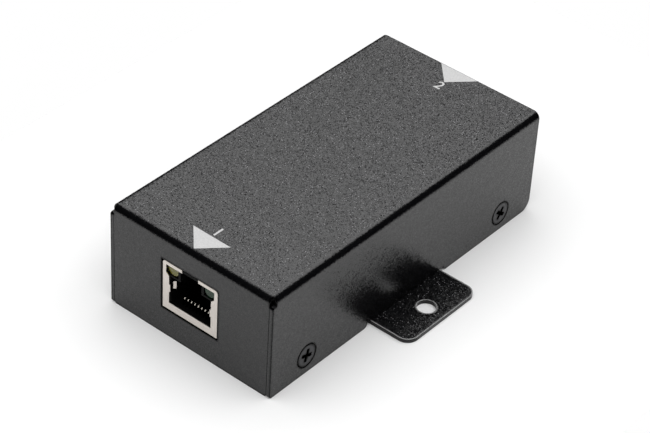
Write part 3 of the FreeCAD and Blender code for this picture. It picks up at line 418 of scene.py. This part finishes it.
def film(name, outline):
    """A thin flat slab of ink from its outline on the cover, listed anticlockwise."""
    count = len(outline)
    low = [(x, y, top - INK_SUNK) for x, y in outline]
    high = [(x, y, top + INK_PROUD) for x, y in outline]
    walls = [(i, (i + 1) % count, (i + 1) % count + count, i + count) for i in range(count)]
    bottom = tuple(reversed(range(count)))
    mesh = bpy.data.meshes.new(name)
    mesh.from_pydata(low + high, [], [bottom, tuple(range(count, 2 * count))] + walls)
    return lay(bpy.data.objects.new(name, mesh))


def lay(piece):
    """Inks a piece and fixes it to the part."""
    bpy.context.scene.collection.objects.link(piece)
    piece.data.materials.append(ink.material)
    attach(piece, "root")
    return piece


def mark(name, base_y, tip_y):
    """A triangle whose base lies across the box, with its tip further along."""
    corners = [(-MARK_HALF, base_y), (MARK_HALF, base_y), (0.0, tip_y)]
    return film(name, corners if tip_y > base_y else corners[::-1])


mark("output_mark", -40.1 * MM, -45.85 * MM)
mark("input_mark", 46.9 * MM, 41.1 * MM)
print("cover top at", round(top / MM, 2), "mm")

# %% [markdown]
# ## Port numbers
#
# Blender's own font gives plain figures. Each is made as a text object, turned into a mesh and laid
# on the cover, and the text object goes, because only meshes are kept.

# %% Port numbers
def numeral(name, text, centre_y, turn):
    """A plain number from the built-in font, as a mesh, centred across the cover."""
    letters = bpy.data.curves.new(name + "_curve", "FONT")
    letters.body = text
    letters.size = 4.2 * MM
    letters.offset = 0.04 * MM
    letters.align_x = "CENTER"
    letters.align_y = "CENTER"
    letters.extrude = (INK_SUNK + INK_PROUD) / 2
    letters.resolution_u = 6
    holder = bpy.data.objects.new(name + "_holder", letters)
    bpy.context.scene.collection.objects.link(holder)
    bpy.context.view_layer.update()
    made = holder.evaluated_get(bpy.context.evaluated_depsgraph_get())
    mesh = bpy.data.meshes.new_from_object(made)
    bpy.data.objects.remove(holder)
    mesh.name = name
    mesh.materials.clear()
    middle = top + (INK_PROUD - INK_SUNK) / 2
    mesh.transform(Matrix.Translation((0, centre_y, middle)) @ Matrix.Rotation(turn, 4, "Z"))
    return lay(bpy.data.objects.new(name, mesh))


numeral("output_number", "1", -37.85 * MM, math.pi)
numeral("input_number", "2", 39.15 * MM, 0.0)

# %% [markdown]
# ## Card and lamps
#
# The box stands on a white card, with white all round as the camera sees it. One wide panel hangs
# overhead and reaches far out behind the box, to the left, where the flat top mirrors it towards
# the camera. The folds mirror the room past the panel and past the card, so they stay black. A
# second panel, which no surface mirrors, lights the card evenly, and the upright sides mirror the
# card. Three lamps round the box would be the usual way, but black paint shows hardly any light
# except what it mirrors, so the lamps are laid out as a mirror needs them.

# %% Card and lamps
CARD_ACROSS, CARD_ALONG, CARD_TOP = 86 * MM, 121 * MM, -0.02 * MM
LAMP_HEIGHT = 1.0

white = Surface("white_card", Roughness=0.9, Specular_IOR_Level=0.1)
white.put(white.shader.inputs["Base Color"], white.mix(white.noise(0.05), grey(0.86), grey(0.88)))
card_mesh = bpy.data.meshes.new("card")
card_mesh.from_pydata([(CARD_ACROSS * x, CARD_ALONG * y, CARD_TOP)
                       for x, y in ((-1, -1), (1, -1), (1, 1), (-1, 1))], [], [(0, 1, 2, 3)])
card_mesh.materials.append(white.material)
card = bpy.data.objects.new("card", card_mesh)
bpy.context.scene.collection.objects.link(card)


def panel(name, x, y, radiance):
    """A flat lamp that faces down, over a range of x and y in metres."""
    light = bpy.data.lights.new(name, "AREA")
    light.shape = "RECTANGLE"
    light.size = x[1] - x[0]
    light.size_y = y[1] - y[0]
    light.energy = radiance * math.pi * light.size * light.size_y
    lamp = bpy.data.objects.new(name, light)
    lamp.location = (sum(x) / 2, sum(y) / 2, LAMP_HEIGHT)
    bpy.context.scene.collection.objects.link(lamp)
    return lamp


panel("mirrored_panel", (-1.35, 0.24), (-0.125, 1.55), 2.5).visible_diffuse = False
panel("card_lamp", (-0.8, 0.8), (-0.8, 0.8), 2.0).visible_glossy = False
print("lamps", len(bpy.data.lights), "card in mm", CARD_ACROSS * 2 / MM, "by", CARD_ALONG * 2 / MM)

# %% [markdown]
# ## The room
#
# The world looks different to each kind of ray. The camera sees white all round. Metal, paint and
# resin mirror white from below, where the card goes on past its edge, and black above that, like a
# dark studio. Everything else gets an even grey fill. One plain colour could not do this: white
# folds would hide the shape of the box, and a black room would spoil the ground.

# %% Room
world = bpy.data.worlds.new("studio")
bpy.context.scene.world = world
world.use_nodes = True
tree = world.node_tree
tree.nodes.clear()


def studio_node(kind, *values):
    """Makes a node of the world and links or sets its first inputs in order."""
    node = tree.nodes.new(kind)
    for socket, value in zip(node.inputs, values):
        if isinstance(value, bpy.types.NodeSocket):
            tree.links.new(value, socket)
        else:
            socket.default_value = value
    return node


WHITE_BELOW, DARK_ABOVE = -0.36, -0.26
ray = studio_node("ShaderNodeLightPath").outputs
direction = studio_node("ShaderNodeTexCoord").outputs["Generated"]
height = studio_node("ShaderNodeSeparateXYZ", direction).outputs["Z"]
fade = studio_node("ShaderNodeMapRange", height, WHITE_BELOW, DARK_ABOVE, 1.0, 0.0).outputs[0]
dark, fill, bright = (studio_node("ShaderNodeBackground", grey(level)).outputs[0]
                      for level in (0.0, 0.55, 1.0))
mirrored = studio_node("ShaderNodeMixShader", fade, dark, bright).outputs[0]
shiny = studio_node("ShaderNodeMath", ray["Is Glossy Ray"], ray["Is Transmission Ray"]).outputs[0]
shiny.node.operation = "MAXIMUM"
around = studio_node("ShaderNodeMixShader", shiny, fill, mirrored).outputs[0]
seen = studio_node("ShaderNodeMixShader", ray["Is Camera Ray"], around, bright).outputs[0]
studio_node("ShaderNodeOutputWorld", seen)

scene = bpy.context.scene
scene.view_settings.view_transform = "Standard"
print("room nodes", len(tree.nodes))

# %% [markdown]
# ## Camera
#
# The camera stands a good half metre away, to the right of the near socket and well above it. It
# leans over by a few degrees, as the picture of the real thing does. It could be placed by eye, but
# then edges never quite line up, so these values come from a fit to the box's corners.

# %% Camera
AZIMUTH, ELEVATION, ROLL = (math.radians(a) for a in (38.499, 38.188, 3.402))
DISTANCE = 553.963 * MM
ASIDE, RAISED = -0.309 * MM, 8.388 * MM
SENSOR = 36.0
FOCAL_PIXELS, PICTURE_PIXELS = 2365.98, 650

back = Vector((math.sin(AZIMUTH) * math.cos(ELEVATION), -math.cos(AZIMUTH) * math.cos(ELEVATION),
               math.sin(ELEVATION)))
level = Vector((math.cos(AZIMUTH), math.sin(AZIMUTH), 0))
upward = back.cross(level)
right = level * math.cos(ROLL) + upward * math.sin(ROLL)
rise = upward * math.cos(ROLL) - level * math.sin(ROLL)

camera_data = bpy.data.cameras.new("camera")
camera_data.sensor_width = SENSOR
camera_data.lens = SENSOR * FOCAL_PIXELS / PICTURE_PIXELS
camera_data.clip_start = 0.01
camera = bpy.data.objects.new("camera", camera_data)
turn = Matrix((right, rise, back)).transposed().to_4x4()
camera.matrix_world = Matrix.Translation(back * DISTANCE + right * ASIDE + rise * RAISED) @ turn
scene.collection.objects.link(camera)
scene.camera = camera
print("camera at", [round(v / MM, 1) for v in camera.location])

# %% [markdown]
# ## The end
#
# The view layer is brought up to date.

# %% Finish
bpy.context.view_layer.update()
